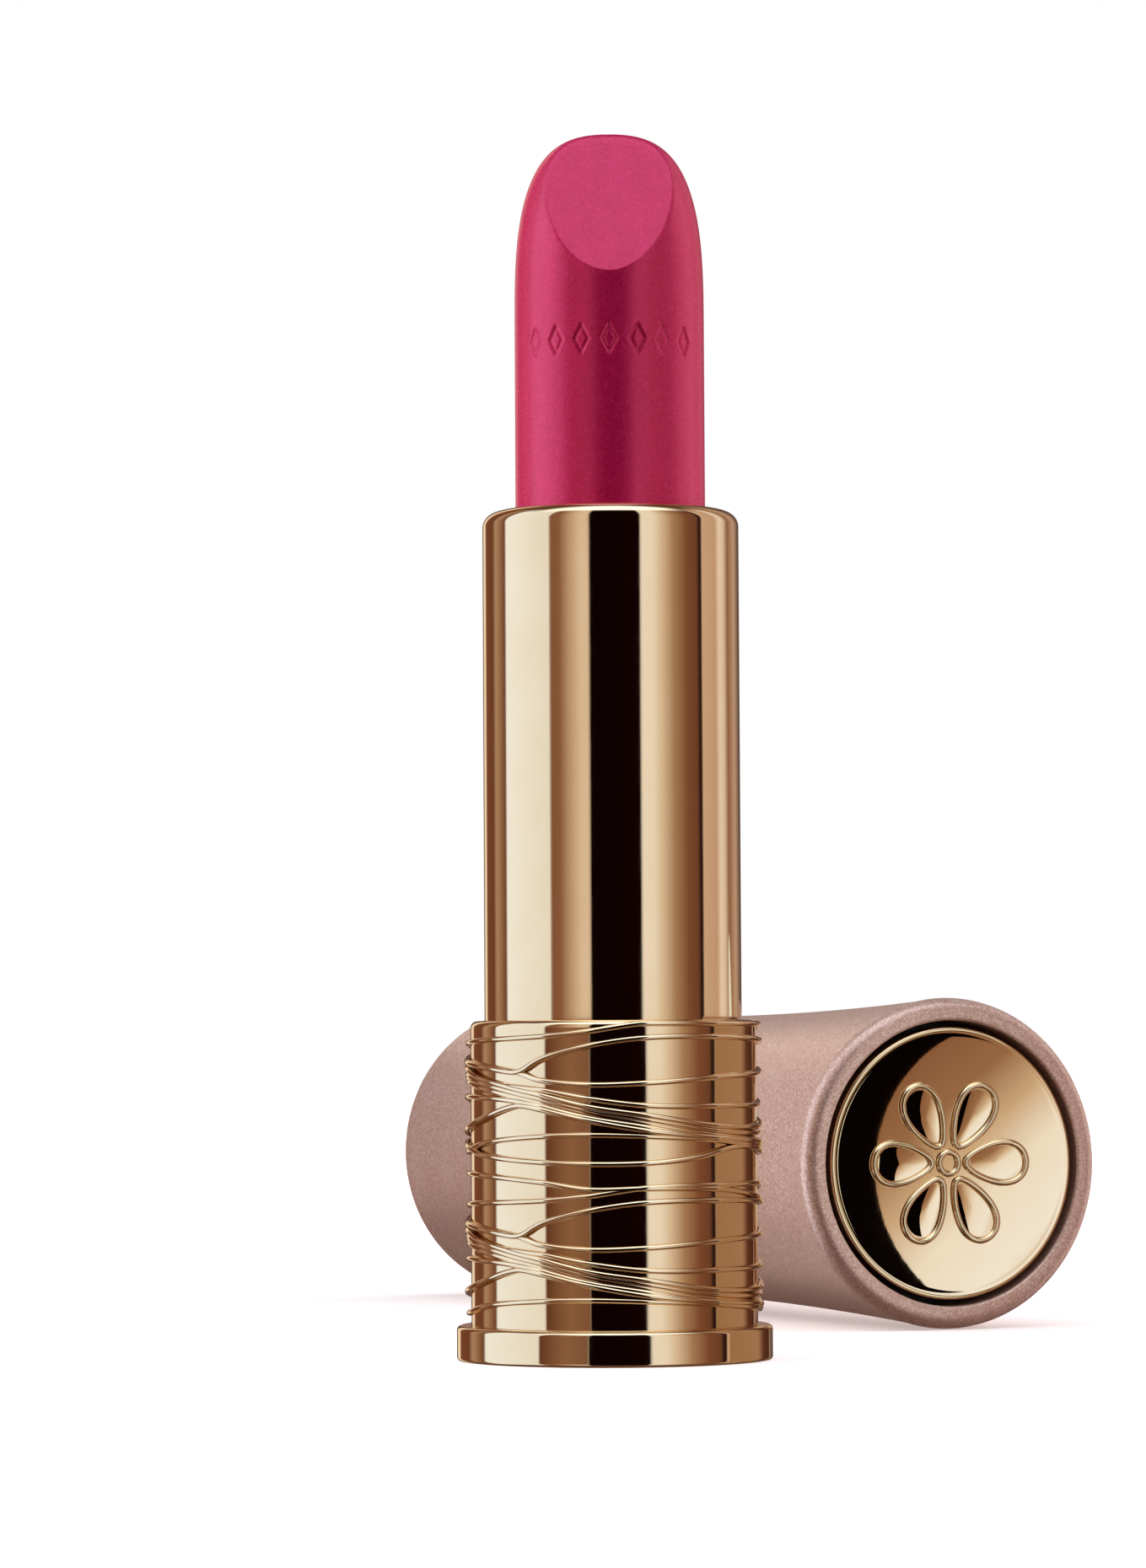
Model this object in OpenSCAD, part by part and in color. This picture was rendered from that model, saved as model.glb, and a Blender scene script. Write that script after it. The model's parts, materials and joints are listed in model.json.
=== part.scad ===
// Swivel lipstick case, open with the bullet raised, and its loose cap lying beside it.
// The base stands on z = 0 with the swivel axis on Z. The cap's axis is parallel to Y.
// Its closed end, with the push button, faces -Y.

/* [Base] */
// Outer radius of the foot ring
foot_r = 10; // [9.9:0.01:10.05]
// Height of the foot ring
foot_h = 2.2; // [2:0.1:2.3]
// Outer radius of the collar under the wires
collar_r = 9.07; // [9:0.01:9.1]
// Height of the collar's top edge above the floor
collar_top = 21.4; // [20:0.1:22]
// Thickness of one wire of the wrap
wire_t = 0.2; // [0.15:0.01:0.2]
// Height over which the pattern of wires repeats
wire_period = 10.1; // [9:0.1:10.2]

/* [Tube] */
// Outer radius of the gold tube
tube_r = 8.16; // [8.1:0.01:8.2]
// Height of the tube's rim above the floor
tube_top = 53.7; // [53.5:0.1:56]
// Radius of the opening in the rim
rim_r = 6.7; // [6.65:0.01:6.8]

/* [Bullet] */
// Radius of the bullet
bullet_r = 6.05; // [6:0.01:6.1]
// Height where the rounded nose starts
nose_z = 65.6; // [65:0.1:69]
// Height of the nose above that, before the slant is cut
nose_h = 12.3; // [10:0.1:13]
// How full the nose is: 2 is an ellipse, and more is squarer
nose_full = 3; // [2:0.1:3]
// Height of the slanted face at the bullet's front
slant_z = 68.4; // [66:0.1:70]
// Angle of the slanted face from level
slant_angle = 65; // [45:1:68]
// Direction that the slanted face looks in, from -Y
slant_turn = -25; // [-60:1:60]

/* [Swivel] */
// Distance that the bullet travels
lift = 26; // [20:1:26]
// Angle that the tube turns through for the whole travel
twist = 630; // [540:10:630]
// Radius of the lugs on the cup
lug_r = 0.6; // [0.5:0.05:0.6]

/* [Cap] */
// Length of the cap
cap_len = 71.7; // [71:0.1:73]
// Outer radius at both ends
cap_end_r = 11.58; // [11.5:0.01:11.6]
// Outer radius at the waist
cap_waist_r = 10.57; // [10.55:0.01:10.7]
// Radius of the bore through the shell
cap_bore_r = 10.15; // [10.12:0.01:10.18]
// Where the lying cap's axis is, along X
cap_x = 36; // [32:1:60]
// Where the cap's closed end is, along Y
cap_y = 21; // [10:1:40]

/* [Button] */
// Radius of the button disc
button_r = 9.5; // [9.3:0.01:9.6]
// Distance that the button can be pressed
button_travel = 1.5; // [1:0.1:1.5]
// Number of petals in the emblem
petals = 6; // [5:1:8]

/* [Hidden] */
$fn = 96;

gold = "#d9a866";
pearl = "#a3857a";
wax = "#b81f52";
plastic = "#2b2624";
natural = "#e8e2d6";
steel = "#a9abad";
rubber = "#3a3a3c";

run_gap = 0.07;
eps = 0.01;

// Base and fork
foot_in = 8;
label_z = 0.3;
label_t = 0.15;
insert_z = label_z + label_t;
insert_top = 4;
boss_top = 8;
weight_r = 5.2;
weight_top = 7;
cup_wall = 0.45;
cup_r = bullet_r + cup_wall;
fork_in = cup_r + run_gap;
fork_wall = 0.46;
fork_r = fork_in + fork_wall;
barrel_r = 7.4;
barrel_top = 13;
ring_z = 8.5;
ring_t = 0.5;
fork_top = 51;
bead_z = 48.4;
bead_r = 7.45;

// Tube and spiral
tube_z = 4.4;
tube_in = 7.7;
spiral_in = fork_r + run_gap;
spiral_z = 13.4;
spiral_top = 48;
groove_r = 7.5;
lug_tip = groove_r - 0.1;
lug_z = 44.5;
groove_half = 0.85;
groove_over = 10;
groove_step = 10;
lead = lift * 360 / twist;
cup_z = 42.5;
cup_top = 53;
cup_floor = 1;

// Cap, measured along its own axis from the mouth
waist_z = cap_len / 2;
cap_arc = (pow(waist_z, 2) + pow(cap_end_r - cap_waist_r, 2)) / (2 * (cap_end_r - cap_waist_r));
cap_edge = 1;
liner_z = 0.9;
liner_top = 64.5;
liner_collar_r = 9.6;
liner_collar_top = 21.2;
liner_tube_r = 8.5;
liner_tube_top = 50.5;
liner_back_r = 9;
grip_z = 36;
grip_t = 0.5;
guide_t = 1.5;
guide_top = liner_top + guide_t;
guide_bore = 2.05;
guide_hub_r = 3.2;
guide_hub_z = 61.5;
seat_r = 10.02;
stem_r = 2;
stem_z = 56;
pusher_r = 6.2;
pusher_t = 1.4;
clip_z = 60.5;
clip_t = 0.8;
disc_t = 1.5;
disc_face = cap_len - 0.25;
disc_back = disc_face - disc_t;
disc_rim = 0.45;
dish_depth = 0.55;
dish_r = button_r - disc_rim;
dish_sphere = (pow(dish_r, 2) + pow(dish_depth, 2)) / (2 * dish_depth);
spring_r = 4.6;
spring_wire = 0.3;
spring_turns = 3.5;
petal_mid = 3.7;
petal_long = 2.5;
petal_wide = 1.5;
relief_t = 0.22;

function cap_outer(z) = cap_waist_r + cap_arc - sqrt(pow(cap_arc, 2) - pow(z - waist_z, 2));

// A closed profile swept along a path of [angle, radius, height] stations round the Z axis.
// The profile's points are [outward, up].
function station(s, profile) = [
    for (p = profile) [(s[1] + p[0]) * cos(s[0]), (s[1] + p[0]) * sin(s[0]), s[2] + p[1]]
];
module sweep_round(stations, profile, closed = false) {
    n = len(profile);
    m = len(stations);
    last = closed ? m - 1 : m - 2;
    sides = [
        for (i = [0:last], j = [0:n - 1]) [
            i * n + j,
            i * n + (j + 1) % n,
            ((i + 1) % m) * n + (j + 1) % n,
            ((i + 1) % m) * n + j
        ]
    ];
    triangles = [for (q = sides, half = [0, 1]) half == 0 ? [q[2], q[1], q[0]] : [q[3], q[2], q[0]]];
    ends = closed ? [] : [
        for (j = [1:n - 2]) [0, j, j + 1],
        for (j = [1:n - 2]) [(m - 1) * n, (m - 1) * n + j + 1, (m - 1) * n + j]
    ];
    polyhedron(points = [for (s = stations) each station(s, profile)], faces = concat(triangles, ends));
}

function ngon(r, n) = [for (i = [0:n - 1]) [r * cos(-360 * i / n), r * sin(-360 * i / n)]];

module ring(r_out, r_in, h) {
    difference() {
        cylinder(r = r_out, h = h);
        translate([0, 0, -1]) cylinder(r = r_in, h = h + 2);
    }
}

// Base

module foot_ring() {
    edge = 0.3;
    color(gold) rotate_extrude()
        difference() {
            translate([foot_in, 0]) square([foot_r - foot_in, foot_h]);
            for (end = [0, 1])
                translate([foot_r - edge, end == 0 ? edge : foot_h - edge])
                    difference() {
                        translate([0, end == 0 ? -2 * edge : 0]) square(2 * edge);
                        circle(r = edge);
                    }
        }
}

module base_collar() {
    edge = 0.4;
    color(gold) rotate_extrude()
        difference() {
            translate([tube_r + run_gap, foot_h]) square([collar_r - tube_r - run_gap, collar_top - foot_h]);
            translate([collar_r - edge, collar_top - edge])
                difference() {
                    square(2 * edge);
                    circle(r = edge);
                }
        }
}

// In each period four wires fall across the front, two level ones are wound over them, and one lies
// between the periods. All of them touch the collar or a wire that does.
module thread_wrap() {
    step = 6;
    wire_r = 0.6 * wire_t;
    under = collar_r + wire_r + 0.01;
    over = under + wire_t;
    wire = ngon(wire_r, 4);
    low = foot_h + 0.9;
    color(gold)
        for (period = [0:1]) {
            base = low + period * wire_period;
            for (k = [0:3])
                sweep_round([
                    for (a = [0:step:360 - step])
                        [a, under, base + 2.1 + 0.42 * k + (1.35 + 0.1 * k) * sin(a + 20)]
                ], wire, closed = true);
            for (k = [0:2])
                sweep_round([
                    for (a = [0:step:360 - step])
                        [
                            a,
                            k < 2 ? over : under,
                            base + 1 + 2.9 * k + 0.55 * sin(2 * a + 60 * k) - 0.35 * sin(a - 50 * k)
                        ]
                ], wire, closed = true);
        }
}

module base_insert() {
    color(plastic)
        difference() {
            union() {
                translate([0, 0, insert_z]) cylinder(r = foot_in, h = foot_h - insert_z);
                translate([0, 0, foot_h]) cylinder(r = tube_r + run_gap, h = insert_top - foot_h);
                translate([0, 0, insert_top]) cylinder(r = fork_in, h = boss_top - insert_top);
            }
            translate([0, 0, insert_z + 1]) cylinder(r = weight_r, h = boss_top);
        }
}

module base_weight() {
    color(steel) translate([0, 0, insert_z + 1]) cylinder(r = weight_r, h = weight_top - insert_z - 1);
}

module shade_label() {
    color(natural) translate([0, 0, label_z]) cylinder(r = foot_in - 0.4, h = label_t);
}

module guide_fork() {
    slot = 2 * lug_r + 0.3;
    slot_z = lug_z - lift - lug_r - 0.4;
    slot_h = lift + 2 * lug_r + 0.8;
    color(natural)
        difference() {
            union() {
                translate([0, 0, insert_top]) cylinder(r = fork_r, h = fork_top - insert_top);
                translate([0, 0, insert_top]) cylinder(r = barrel_r, h = barrel_top - insert_top);
                translate([0, 0, bead_z]) cylinder(r = bead_r, h = 1);
            }
            translate([0, 0, insert_top - 1]) cylinder(r = fork_in, h = fork_top);
            translate([0, 0, ring_z - ring_t / 2]) ring(barrel_r + 1, barrel_r - ring_t / 2, ring_t);
            rotate(slant_turn)
                translate([-fork_r - 1, -slot / 2, slot_z]) cube([2 * fork_r + 2, slot, slot_h]);
        }
}

module drag_ring() {
    color(rubber) rotate_extrude()
        translate([barrel_r, ring_z]) circle(r = ring_t / 2 - eps);
}

// Tube

module tube_shell() {
    round_r = 0.9;
    lip_t = 1.1;
    color(gold) rotate_extrude()
        difference() {
            union() {
                translate([tube_in, tube_z]) square([tube_r - tube_in, tube_top - tube_z]);
                translate([rim_r, tube_top - lip_t]) square([tube_r - rim_r, lip_t]);
            }
            translate([tube_r - round_r, tube_top - round_r])
                difference() {
                    square(2 * round_r);
                    circle(r = round_r);
                }
            translate([rim_r + 0.3, tube_top - 0.3])
                difference() {
                    translate([-0.6, 0]) square(0.6);
                    circle(r = 0.3);
                }
        }
}

// The groove is at the lug's height at angle 0, and falls as the angle grows.
module helix_groove() {
    profile = [
        [spiral_in - 0.6, -groove_half],
        [spiral_in - 0.6, groove_half],
        [groove_r, groove_half],
        [groove_r, -groove_half]
    ];
    sweep_round([
        for (a = [-groove_over:groove_step:twist + groove_over]) [a, 0, lug_z - lead * a / 360]
    ], profile);
}

module spiral_sleeve() {
    color(natural)
        difference() {
            translate([0, 0, spiral_z]) ring(tube_in, spiral_in, spiral_top - spiral_z);
            for (side = [0, 180]) rotate(slant_turn + side) helix_groove();
        }
}

// Carrier

module bullet_cup() {
    color(natural) {
        difference() {
            translate([0, 0, cup_z]) cylinder(r = cup_r, h = cup_top - cup_z);
            translate([0, 0, cup_z + cup_floor]) cylinder(r = bullet_r, h = cup_top);
            translate([0, 0, cup_z - 1]) cylinder(r = 2, h = cup_floor + 2);
        }
        for (side = [0, 180])
            rotate(slant_turn + side)
                translate([bullet_r + 0.15, 0, lug_z]) rotate([0, 90, 0])
                    cylinder(r = lug_r, h = lug_tip - bullet_r - 0.15);
    }
}

module lipstick_bullet() {
    z = cup_z + cup_floor;
    steps = 14;
    nose = [
        for (i = [0:steps])
            let (a = 90 * i / steps)
            [bullet_r * pow(cos(a), 2 / nose_full), nose_z + nose_h * pow(sin(a), 2 / nose_full)]
    ];
    color(wax)
        difference() {
            rotate_extrude() polygon(concat([[0, z], [bullet_r, z]], nose));
            rotate(slant_turn)
                translate([0, -bullet_r, slant_z]) rotate([slant_angle, 0, 0])
                    translate([-20, -20, 0]) cube([40, 60, 30]);
        }
}

// Cap: each piece is made standing on its mouth, then laid down

module lay_down() {
    translate([cap_x, cap_y + cap_len, cap_end_r]) rotate([90, 0, 0]) children();
}

module cap_shell() {
    lip_bore = button_r + 0.45;
    steps = 24;
    outer = [for (i = [0:steps]) let (z = cap_len * i / steps) [cap_outer(z), z]];
    color(pearl) lay_down()
        rotate_extrude()
            difference() {
                polygon(concat([[lip_bore, 0]], outer, [[lip_bore, cap_len]]));
                translate([0, -1]) square([cap_bore_r, guide_top + 1]);
                for (end = [0, 1])
                    translate([cap_end_r - cap_edge, end == 0 ? cap_edge : cap_len - cap_edge])
                        difference() {
                            translate([0, end == 0 ? -2 * cap_edge : 0]) square(2 * cap_edge);
                            circle(r = cap_edge);
                        }
            }
}

module cap_liner() {
    color(plastic) lay_down()
        rotate_extrude()
            polygon([
                [liner_collar_r, liner_z],
                [cap_bore_r, liner_z],
                [cap_bore_r, liner_top],
                [liner_back_r, liner_top],
                [liner_back_r, liner_tube_top + 0.5],
                [liner_tube_r, liner_tube_top],
                [liner_tube_r, grip_z + grip_t],
                [liner_tube_r + grip_t, grip_z + grip_t],
                [liner_tube_r + grip_t, grip_z - grip_t],
                [liner_tube_r, grip_z - grip_t],
                [liner_tube_r, liner_collar_top + 1],
                [liner_collar_r, liner_collar_top]
            ]);
}

module grip_ring() {
    color(rubber) lay_down()
        rotate_extrude() translate([liner_tube_r + eps, grip_z]) circle(r = grip_t - eps);
}

module button_guide() {
    color(plastic) lay_down()
        difference() {
            union() {
                translate([0, 0, liner_top]) cylinder(r = cap_bore_r, h = guide_t);
                translate([0, 0, guide_hub_z]) cylinder(r = guide_hub_r, h = guide_top - guide_hub_z);
            }
            translate([0, 0, guide_hub_z - 1]) cylinder(r = guide_bore, h = guide_top);
        }
}

module return_spring() {
    low = guide_top + spring_wire + eps;
    high = disc_back - spring_wire - eps;
    step = 20;
    span = spring_turns * 360;
    color(steel) lay_down()
        sweep_round([
            for (a = [0:step:span]) [a, spring_r, low + (high - low) * a / span]
        ], ngon(spring_wire, 6));
}

// Button

module button_disc() {
    edge = 0.3;
    steps = 40;
    dish = [
        for (i = [0:steps])
            let (x = dish_r * i / steps)
            [x, disc_face - dish_depth + dish_sphere - sqrt(pow(dish_sphere, 2) - pow(x, 2))]
    ];
    color(gold) lay_down()
        rotate_extrude()
            difference() {
                polygon(concat([[0, disc_back]], dish, [[button_r, disc_face], [button_r, disc_back]]));
                translate([button_r - edge, disc_face - edge])
                    difference() {
                        square(2 * edge);
                        circle(r = edge);
                    }
            }
}

module petal_outline() {
    points = [
        for (a = [0:15:345])
            [petal_mid + petal_long * cos(a), petal_wide * sin(a) * (1 + 0.35 * cos(a))]
    ];
    difference() {
        polygon(points);
        polygon([
            for (p = points)
                [petal_mid + (p[0] - petal_mid) * 0.84, p[1] * 0.74]
        ]);
    }
}

// A ring of petal outlines round a small ring, standing up from the dished face.
module button_emblem() {
    face_z = disc_face - dish_depth;
    color(gold) lay_down()
        intersection() {
            translate([0, 0, face_z])
                linear_extrude(height = 2) {
                    for (i = [0:petals - 1]) rotate(360 * i / petals) petal_outline();
                    difference() {
                        circle(r = 0.9);
                        circle(r = 0.62);
                    }
                }
            difference() {
                translate([0, 0, disc_face - dish_depth + dish_sphere]) sphere(r = dish_sphere);
                translate([0, 0, disc_face - dish_depth + dish_sphere]) sphere(r = dish_sphere - relief_t);
            }
        }
}

module button_plunger() {
    color(plastic) lay_down()
        difference() {
            union() {
                translate([0, 0, stem_z]) cylinder(r = stem_r, h = disc_back - stem_z);
                translate([0, 0, stem_z - pusher_t]) cylinder(r = pusher_r, h = pusher_t);
            }
            translate([0, 0, clip_z]) ring(stem_r + 1, stem_r - 0.4, clip_t);
        }
}

module retaining_clip() {
    color(steel) lay_down()
        translate([0, 0, clip_z]) ring(stem_r + 1, stem_r - 0.4, clip_t);
}

foot_ring();
base_collar();
thread_wrap();
base_insert();
base_weight();
shade_label();
guide_fork();
drag_ring();
tube_shell();
spiral_sleeve();
bullet_cup();
lipstick_bullet();
cap_shell();
cap_liner();
grip_ring();
button_guide();
return_spring();
button_disc();
button_emblem();
button_plunger();
retaining_clip();
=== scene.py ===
import json
import math

import bmesh
import bpy
from mathutils import Matrix, Vector

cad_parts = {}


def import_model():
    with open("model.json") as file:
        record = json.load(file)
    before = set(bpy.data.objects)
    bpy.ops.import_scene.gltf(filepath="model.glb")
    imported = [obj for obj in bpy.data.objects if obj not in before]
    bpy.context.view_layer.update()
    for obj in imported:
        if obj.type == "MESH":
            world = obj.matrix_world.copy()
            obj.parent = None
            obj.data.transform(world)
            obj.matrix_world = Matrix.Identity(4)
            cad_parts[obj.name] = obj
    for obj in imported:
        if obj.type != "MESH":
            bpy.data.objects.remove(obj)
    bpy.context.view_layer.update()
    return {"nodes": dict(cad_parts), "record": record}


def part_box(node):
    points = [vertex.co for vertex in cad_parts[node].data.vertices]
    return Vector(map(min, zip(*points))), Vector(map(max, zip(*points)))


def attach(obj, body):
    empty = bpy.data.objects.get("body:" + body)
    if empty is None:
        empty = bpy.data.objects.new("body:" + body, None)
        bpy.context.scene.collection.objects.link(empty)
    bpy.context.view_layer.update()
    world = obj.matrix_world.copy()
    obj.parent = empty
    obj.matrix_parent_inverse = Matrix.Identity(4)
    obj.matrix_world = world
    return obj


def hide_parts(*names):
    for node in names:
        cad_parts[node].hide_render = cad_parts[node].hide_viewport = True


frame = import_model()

MM = 0.001


# ---------------------------------------------------------------------------
# Sizes, read from the frame. Metres throughout.
# ---------------------------------------------------------------------------

def node_box(name):
    lo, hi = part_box(name)
    return Vector(lo), Vector(hi)


def node_radius(name):
    """Outer radius of a node that is round about Z."""
    lo, hi = node_box(name)
    return (hi.y - lo.y) / 2


FOOT_LO, FOOT_HI = node_box("foot_ring")
FOOT_R = node_radius("foot_ring")
COLLAR_LO, COLLAR_HI = node_box("base_collar")
COLLAR_R = node_radius("base_collar")
TUBE_LO, TUBE_HI = node_box("tube_shell")
TUBE_R = node_radius("tube_shell")
WAX_LO, _ = node_box("lipstick_bullet")
WAX_R = node_radius("lipstick_bullet")
CAP_LO, CAP_HI = node_box("cap_shell")
CAP_END_R = (CAP_HI.z - CAP_LO.z) / 2
CAP_LEN = CAP_HI.y - CAP_LO.y
CAP_AXIS = Vector(((CAP_LO.x + CAP_HI.x) / 2, CAP_LO.y, (CAP_LO.z + CAP_HI.z) / 2))
DISC_LO, DISC_HI = node_box("button_disc")
DISC_R = (DISC_HI.z - DISC_LO.z) / 2

# Direction that the camera looks from, about the swivel axis, from -Y
VIEW_TURN = math.radians(-25.1)


# ---------------------------------------------------------------------------
# Mesh helpers
# ---------------------------------------------------------------------------

# A profile's point nearer to the axis than this is a pole
ON_AXIS = 1e-7


def add_mesh(name, verts, faces):
    """An object in the scene, made from points and faces."""
    mesh = bpy.data.meshes.new(name)
    mesh.from_pydata([tuple(v) for v in verts], [], faces)
    mesh.update()
    obj = bpy.data.objects.new(name, mesh)
    bpy.context.scene.collection.objects.link(obj)
    return obj


def new_piece(name, verts, faces, material, body, replaced):
    """A smooth piece of the object that rides on a body and stands for a CAD node."""
    obj = add_mesh(name, verts, faces)
    obj.data.polygons.foreach_set("use_smooth", [True] * len(obj.data.polygons))
    obj.data.materials.append(material)
    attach(obj, body)
    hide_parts(replaced)
    return obj


def arc(centre, radius, start, end, steps=8):
    """Points of an arc in the (radius, height) plane; angles in degrees from the outward direction."""
    return [
        (
            centre[0] + radius * math.cos(math.radians(start + (end - start) * i / steps)),
            centre[1] + radius * math.sin(math.radians(start + (end - start) * i / steps)),
        )
        for i in range(steps + 1)
    ]


def hold(profile, gap=0.03 * MM, long_side=0.25 * MM):
    """Adds a point close to each end of the long sides, so that smooth shading stays inside the fillets."""
    out = []
    n = len(profile)
    for i in range(n):
        a, b = profile[i], profile[(i + 1) % n]
        out.append(a)
        d = math.dist(a, b)
        if d > long_side:
            for t in (gap / d, 1 - gap / d):
                out.append((a[0] + (b[0] - a[0]) * t, a[1] + (b[1] - a[1]) * t))
    return out


def lathe_mesh(profile, segments=192, closed=True, place=Vector):
    """Turns a profile of (radius, height) points round Z. place maps each point into the frame."""
    verts, rings = [], []
    for r, z in profile:
        if r < ON_AXIS:
            rings.append([len(verts)])
            verts.append(place(Vector((0, 0, z))))
            continue
        first = len(verts)
        for k in range(segments):
            a = 2 * math.pi * k / segments
            verts.append(place(Vector((r * math.cos(a), r * math.sin(a), z))))
        rings.append(list(range(first, first + segments)))
    faces = []
    pairs = list(zip(rings, rings[1:])) + ([(rings[-1], rings[0])] if closed else [])
    for low, high in pairs:
        for k in range(segments):
            m = (k + 1) % segments
            if len(low) == 1 and len(high) == 1:
                continue
            if len(low) == 1:
                faces.append((low[0], high[m], high[k]))
            elif len(high) == 1:
                faces.append((low[k], low[m], high[0]))
            else:
                faces.append((low[k], low[m], high[m], high[k]))
    return verts, faces


def lay_down(p):
    """From the cap's own axis, standing on its mouth, to where the cap lies."""
    return Vector((CAP_AXIS.x + p.x, CAP_LO.y + CAP_LEN - p.z, CAP_AXIS.z + p.y))


def tube_faces(rings, sides):
    """The faces of a closed tube whose points come ring by ring."""
    faces = []
    for i in range(rings):
        j = (i + 1) % rings
        for k in range(sides):
            m = (k + 1) % sides
            faces.append((i * sides + k, i * sides + m, j * sides + m, j * sides + k))
    return faces


def collar_wire(points, radius, sides=8):
    """A round wire along a closed loop of points about Z."""
    n = len(points)
    verts = []
    for i, p in enumerate(points):
        along = (points[(i + 1) % n] - points[(i - 1) % n]).normalized()
        side = along.cross(Vector((p.x, p.y, 0)).normalized()).normalized()
        out = side.cross(along).normalized()
        for k in range(sides):
            a = 2 * math.pi * k / sides
            verts.append(p + out * (radius * math.cos(a)) + side * (radius * math.sin(a)))
    return verts, tube_faces(n, sides)


def join_meshes(parts):
    """One mesh from several."""
    verts, faces = [], []
    for v, f in parts:
        start = len(verts)
        verts += v
        faces += [tuple(start + i for i in face) for face in f]
    return verts, faces


def face_outward(obj):
    """Makes every face look out of its solid."""
    bm = bmesh.new()
    bm.from_mesh(obj.data)
    bmesh.ops.recalc_face_normals(bm, faces=bm.faces)
    bm.to_mesh(obj.data)
    bm.free()
    return obj


# ---------------------------------------------------------------------------
# Materials
# ---------------------------------------------------------------------------

class Tree:
    """A short way to build a node tree. A colour is a tuple of three, or a socket."""

    def __init__(self, tree):
        self.tree = tree

    def add(self, kind, **values):
        node = self.tree.nodes.new(kind)
        for key, value in values.items():
            if key in node.inputs:
                node.inputs[key].default_value = value
            else:
                setattr(node, key, value)
        return node

    def link(self, out_socket, in_socket):
        self.tree.links.new(out_socket, in_socket)

    def mix(self, factor, a, b):
        node = self.add("ShaderNodeMix")
        node.data_type = "RGBA"
        self.link(factor, node.inputs["Factor"])
        for key, colour in (("A", a), ("B", b)):
            if isinstance(colour, tuple):
                node.inputs[key].default_value = (*colour, 1)
            else:
                self.link(colour, node.inputs[key])
        return node.outputs["Result"]


class Nodes(Tree):
    """A material and its node tree."""

    def __init__(self, name):
        self.material = bpy.data.materials.new(name)
        self.material.use_nodes = True
        super().__init__(self.material.node_tree)
        self.shader = self.tree.nodes["Principled BSDF"]

    def coordinates(self, scale=(1, 1, 1)):
        at = self.add("ShaderNodeTexCoord")
        mapping = self.add("ShaderNodeMapping")
        mapping.inputs["Scale"].default_value = scale
        self.link(at.outputs["Object"], mapping.inputs["Vector"])
        return mapping.outputs["Vector"]

    def noise(self, scale, detail=2.0, stretch=(1, 1, 1)):
        node = self.add("ShaderNodeTexNoise", Scale=scale, Detail=detail, Roughness=0.5)
        self.link(self.coordinates(stretch), node.inputs["Vector"])
        return node.outputs["Fac"]

    def flakes(self, scale):
        """Three random values for each flake, from 0 to 1."""
        cells = self.add("ShaderNodeTexVoronoi", Scale=scale)
        self.link(self.coordinates(), cells.inputs["Vector"])
        split = self.add("ShaderNodeSeparateColor")
        self.link(cells.outputs["Color"], split.inputs["Color"])
        return split.outputs["Red"], split.outputs["Green"], split.outputs["Blue"]

    def remap(self, value, low, high, from_low=0.3, from_high=0.7):
        node = self.add("ShaderNodeMapRange")
        node.inputs["From Min"].default_value = from_low
        node.inputs["From Max"].default_value = from_high
        node.inputs["To Min"].default_value = low
        node.inputs["To Max"].default_value = high
        self.link(value, node.inputs["Value"])
        return node.outputs["Result"]

    def bump(self, height, strength, distance, before=None):
        node = self.add("ShaderNodeBump", Strength=strength, Distance=distance)
        self.link(height, node.inputs["Height"])
        if before is not None:
            self.link(before, node.inputs["Normal"])
        return node.outputs["Normal"]

    def set(self, **values):
        for key, value in values.items():
            self.shader.inputs[key.replace("_", " ")].default_value = value

    def drive(self, name, socket):
        """Links a socket to the shader's input of that name."""
        self.link(socket, self.shader.inputs[name])

    def set_glow(self, colour=None):
        """No reflection of its own, and light that is even or comes from a linked colour."""
        self.set(Roughness=1.0, Base_Color=(0, 0, 0, 1), Specular_IOR_Level=0.0, Emission_Strength=1.0)
        if colour:
            self.set(Emission_Color=(*colour, 1))


def set_stops(ramp, stops):
    """Gives a colour ramp its stops: [(place from 0 to 1, colour)]."""
    elements = ramp.color_ramp.elements
    while len(elements) < len(stops):
        elements.new(1.0)
    for element, (place, colour) in zip(elements, stops):
        element.position = place
        element.color = (*colour, 1)


def gold_material(name, tint, dark, rough):
    """Polished warm plating: faint polishing waves, a little haze, and fine hairlines."""
    m = Nodes(name)
    m.set(Metallic=1.0)
    haze = m.noise(260.0, 3.0)
    m.drive("Base Color", m.mix(m.remap(haze, 0.0, 1.0), tint, dark))
    hairlines = m.noise(5200.0, 4.0, stretch=(1, 1, 0.12))
    m.drive("Roughness", m.remap(hairlines, rough * 0.75, rough * 1.5))
    waves = m.bump(haze, 0.004, 0.3 * MM)
    m.drive("Normal", m.bump(hairlines, 0.01, 0.01 * MM, waves))
    return m.material


def pearl_material():
    """Rose-taupe pearl lacquer: a satin metallic ground with flakes of several sizes."""
    m = Nodes("rose_pearl")
    m.set(Metallic=0.55, IOR=1.5, Coat_Weight=0.35, Coat_Roughness=0.32)
    tone, gloss, tilt = m.flakes(9000.0)
    grain = m.noise(7000.0)
    cloud = m.noise(90.0)
    ground = m.mix(m.remap(cloud, 0.0, 1.0), PEARL_MID, PEARL_DEEP)
    m.drive("Base Color", m.mix(m.remap(tone, 0.0, 1.0, 0.25, 1.0), ground, PEARL_LIGHT))
    m.drive("Roughness", m.remap(gloss, 0.30, 0.46, 0.0, 1.0))
    m.drive("Normal", m.bump(tilt, 0.05, 0.03 * MM, m.bump(grain, 0.06, 0.03 * MM)))
    return m.material


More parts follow.
